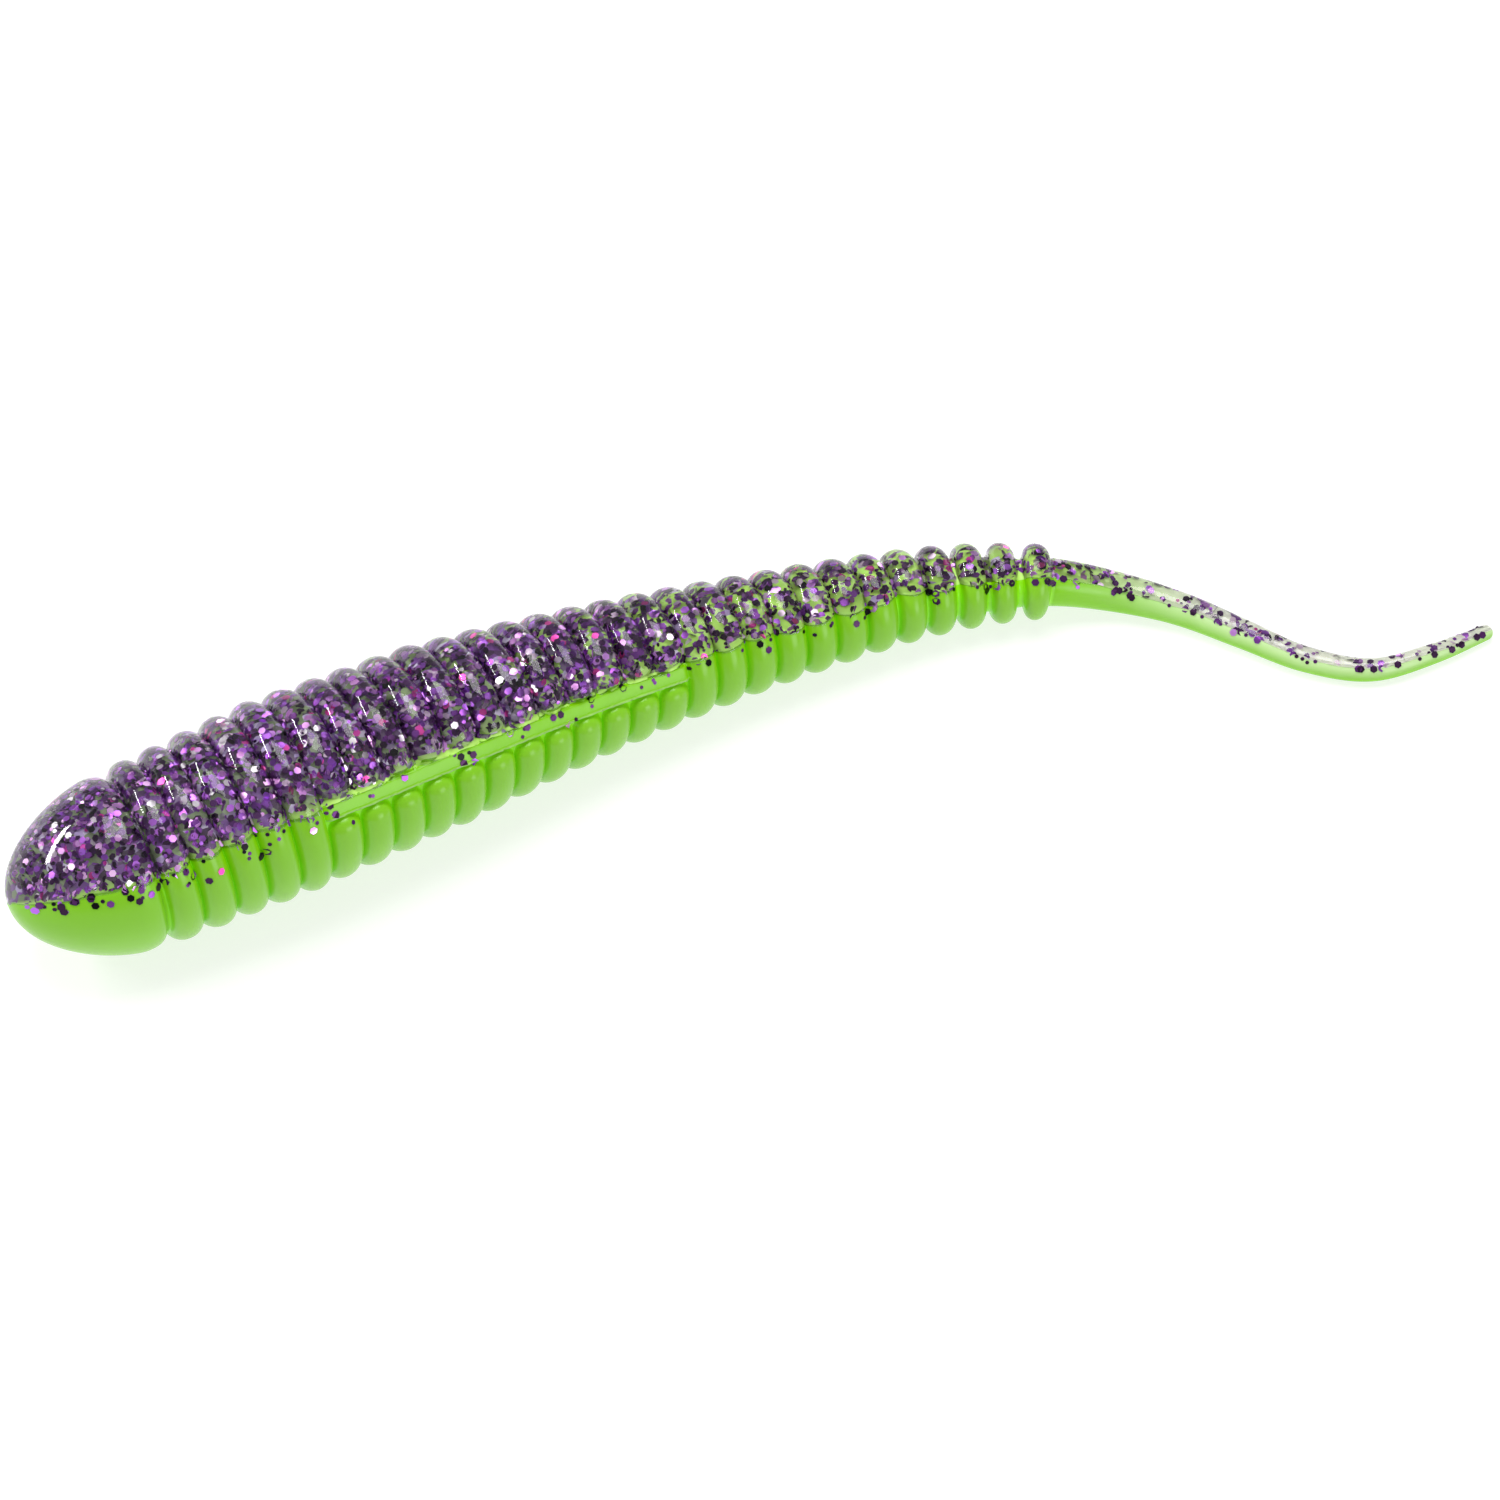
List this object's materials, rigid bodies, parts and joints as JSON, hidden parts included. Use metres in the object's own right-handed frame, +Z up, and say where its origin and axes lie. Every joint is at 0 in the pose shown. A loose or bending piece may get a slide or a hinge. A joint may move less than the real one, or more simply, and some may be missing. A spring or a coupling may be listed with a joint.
{
  "type": "soft plastic worm",
  "caption": "Ribbed soft vinyl fishing worm with a bullet nose, a glittered clear back over an opaque belly, and a thin wavy tail, bending all along its length.",
  "frame": {"origin": "under the middle of the whole worm, on the table it lies on", "axes": "+X along the length from the nose to the tail, +Y to the far side that the back leans towards, +Z up from the table"},
  "size_m": [0.0972, 0.033, 0.013],
  "materials": {
    "clear_back": "clear smoky soft vinyl loaded with purple flakes, glossy",
    "green_belly": "opaque chartreuse soft vinyl, glossy"
  },
  "bodies": {
    "head": {"head_back": "clear_back", "head_belly": "green_belly"},
    "trunk_01": {"trunk_01_back": "clear_back", "trunk_01_belly": "green_belly"},
    "trunk_02": {"trunk_02_back": "clear_back", "trunk_02_belly": "green_belly"},
    "trunk_03": {"trunk_03_back": "clear_back", "trunk_03_belly": "green_belly"},
    "trunk_04": {"trunk_04_back": "clear_back", "trunk_04_belly": "green_belly"},
    "trunk_05": {"trunk_05_back": "clear_back", "trunk_05_belly": "green_belly"},
    "trunk_06": {"trunk_06_back": "clear_back", "trunk_06_belly": "green_belly"},
    "trunk_07": {"trunk_07_back": "clear_back", "trunk_07_belly": "green_belly"},
    "trunk_08": {"trunk_08_back": "clear_back", "trunk_08_belly": "green_belly"},
    "trunk_09": {"trunk_09_back": "clear_back", "trunk_09_belly": "green_belly"},
    "trunk_10": {"trunk_10_back": "clear_back", "trunk_10_belly": "green_belly"},
    "trunk_11": {"trunk_11_back": "clear_back", "trunk_11_belly": "green_belly"},
    "trunk_12": {"trunk_12_back": "clear_back", "trunk_12_belly": "green_belly"},
    "trunk_13": {"trunk_13_back": "clear_back", "trunk_13_belly": "green_belly"},
    "trunk_14": {"trunk_14_back": "clear_back", "trunk_14_belly": "green_belly"},
    "tail_1": {"tail_1_back": "clear_back", "tail_1_belly": "green_belly"},
    "tail_2": {"tail_2_back": "clear_back", "tail_2_belly": "green_belly"},
    "tail_3": {"tail_3_back": "clear_back", "tail_3_belly": "green_belly"},
    "tail_4": {"tail_4_back": "clear_back", "tail_4_belly": "green_belly"},
    "tail_5": {"tail_5_back": "clear_back", "tail_5_belly": "green_belly"},
    "tail_6": {"tail_6_back": "clear_back", "tail_6_belly": "green_belly"},
    "tail_7": {"tail_7_back": "clear_back", "tail_7_belly": "green_belly"}
  },
  "joints": [
    {"name": "trunk_01_bend_sideways", "type": "hinge", "parent": "head", "child": "trunk_01", "pos_m": [-0.03809, -0.00906, 0.00623], "axis": [0, 0, 1], "range_deg": [-9, 9], "stiffness_Nm_per_rad": 0.00669},
    {"name": "trunk_02_bend_up_down", "type": "hinge", "parent": "trunk_01", "child": "trunk_02", "pos_m": [-0.03409, -0.0071, 0.00643], "axis": [-0.4433, 0.8964, 0], "range_deg": [-9, 9], "stiffness_Nm_per_rad": 0.00777},
    {"name": "trunk_03_bend_sideways", "type": "hinge", "parent": "trunk_02", "child": "trunk_03", "pos_m": [-0.0301, -0.00511, 0.00654], "axis": [0, 0, 1], "range_deg": [-9.1, 9.1], "stiffness_Nm_per_rad": 0.00841},
    {"name": "trunk_04_bend_up_down", "type": "hinge", "parent": "trunk_03", "child": "trunk_04", "pos_m": [-0.02612, -0.0031, 0.00638], "axis": [-0.455, 0.8905, 0], "range_deg": [-9.52, 9.52], "stiffness_Nm_per_rad": 0.00749},
    {"name": "trunk_05_bend_sideways", "type": "hinge", "parent": "trunk_04", "child": "trunk_05", "pos_m": [-0.02216, -0.00105, 0.00622], "axis": [0, 0, 1], "range_deg": [-9.94, 9.94], "stiffness_Nm_per_rad": 0.00664},
    {"name": "trunk_06_bend_up_down", "type": "hinge", "parent": "trunk_05", "child": "trunk_06", "pos_m": [-0.01821, 0.00098, 0.00585], "axis": [-0.4563, 0.8898, 0], "range_deg": [-10.35, 10.35], "stiffness_Nm_per_rad": 0.00495},
    {"name": "trunk_07_bend_sideways", "type": "hinge", "parent": "trunk_06", "child": "trunk_07", "pos_m": [-0.01426, 0.003, 0.00541], "axis": [0, 0, 1], "range_deg": [-10.77, 10.77], "stiffness_Nm_per_rad": 0.00339},
    {"name": "trunk_08_bend_up_down", "type": "hinge", "parent": "trunk_07", "child": "trunk_08", "pos_m": [-0.01026, 0.00492, 0.00498], "axis": [-0.4196, 0.9077, 0], "range_deg": [-11.19, 11.19], "stiffness_Nm_per_rad": 0.00224},
    {"name": "trunk_09_bend_sideways", "type": "hinge", "parent": "trunk_08", "child": "trunk_09", "pos_m": [-0.0062, 0.00672, 0.00456], "axis": [0, 0, 1], "range_deg": [-11.6, 11.6], "stiffness_Nm_per_rad": 0.00144},
    {"name": "trunk_10_bend_up_down", "type": "hinge", "parent": "trunk_09", "child": "trunk_10", "pos_m": [-0.0021, 0.00842, 0.00414], "axis": [-0.3716, 0.9284, 0], "range_deg": [-12.02, 12.02], "stiffness_Nm_per_rad": 0.000872},
    {"name": "trunk_11_bend_sideways", "type": "hinge", "parent": "trunk_10", "child": "trunk_11", "pos_m": [0.00205, 0.01003, 0.00378], "axis": [0, 0, 1], "range_deg": [-12.44, 12.44], "stiffness_Nm_per_rad": 0.000537},
    {"name": "trunk_12_bend_up_down", "type": "hinge", "parent": "trunk_11", "child": "trunk_12", "pos_m": [0.00624, 0.0115, 0.00344], "axis": [-0.3161, 0.9487, 0], "range_deg": [-12.85, 12.85], "stiffness_Nm_per_rad": 0.00032},
    {"name": "trunk_13_bend_sideways", "type": "hinge", "parent": "trunk_12", "child": "trunk_13", "pos_m": [0.01049, 0.01284, 0.00311], "axis": [0, 0, 1], "range_deg": [-13.27, 13.27], "stiffness_Nm_per_rad": 0.00018},
    {"name": "trunk_14_bend_up_down", "type": "hinge", "parent": "trunk_13", "child": "trunk_14", "pos_m": [0.01484, 0.01374, 0.00281], "axis": [-0.1402, 0.9901, 0], "range_deg": [-13.69, 13.69], "stiffness_Nm_per_rad": 0.0000977},
    {"name": "tail_1_bend_sideways", "type": "hinge", "parent": "trunk_14", "child": "tail_1", "pos_m": [0.01928, 0.01408, 0.00258], "axis": [0, 0, 1], "range_deg": [-14, 14], "stiffness_Nm_per_rad": 0.0000577},
    {"name": "tail_2_bend_up_down", "type": "hinge", "parent": "tail_1", "child": "tail_2", "pos_m": [0.0236, 0.01406, 0.00149], "axis": [0.1368, 0.9906, 0], "range_deg": [-22, 22], "stiffness_Nm_per_rad": 0.0000295},
    {"name": "tail_3_bend_sideways", "type": "hinge", "parent": "tail_2", "child": "tail_3", "pos_m": [0.02789, 0.01289, 0.00116], "axis": [0, 0, 1], "range_deg": [-22, 22], "stiffness_Nm_per_rad": 0.00002},
    {"name": "tail_4_bend_up_down", "type": "hinge", "parent": "tail_3", "child": "tail_4", "pos_m": [0.03192, 0.011, 0.00102], "axis": [0.4295, 0.9031, 0], "range_deg": [-22, 22], "stiffness_Nm_per_rad": 0.00002},
    {"name": "tail_5_bend_sideways", "type": "hinge", "parent": "tail_4", "child": "tail_5", "pos_m": [0.03594, 0.00907, 0.0009], "axis": [0, 0, 1], "range_deg": [-22, 22], "stiffness_Nm_per_rad": 0.00002},
    {"name": "tail_6_bend_up_down", "type": "hinge", "parent": "tail_5", "child": "tail_6", "pos_m": [0.04032, 0.00824, 0.00081], "axis": [-0.065, 0.9979, 0], "range_deg": [-22, 22], "stiffness_Nm_per_rad": 0.00002},
    {"name": "tail_7_bend_sideways", "type": "hinge", "parent": "tail_6", "child": "tail_7", "pos_m": [0.04455, 0.00963, 0.00071], "axis": [0, 0, 1], "range_deg": [-22, 22], "stiffness_Nm_per_rad": 0.00002}
  ]
}
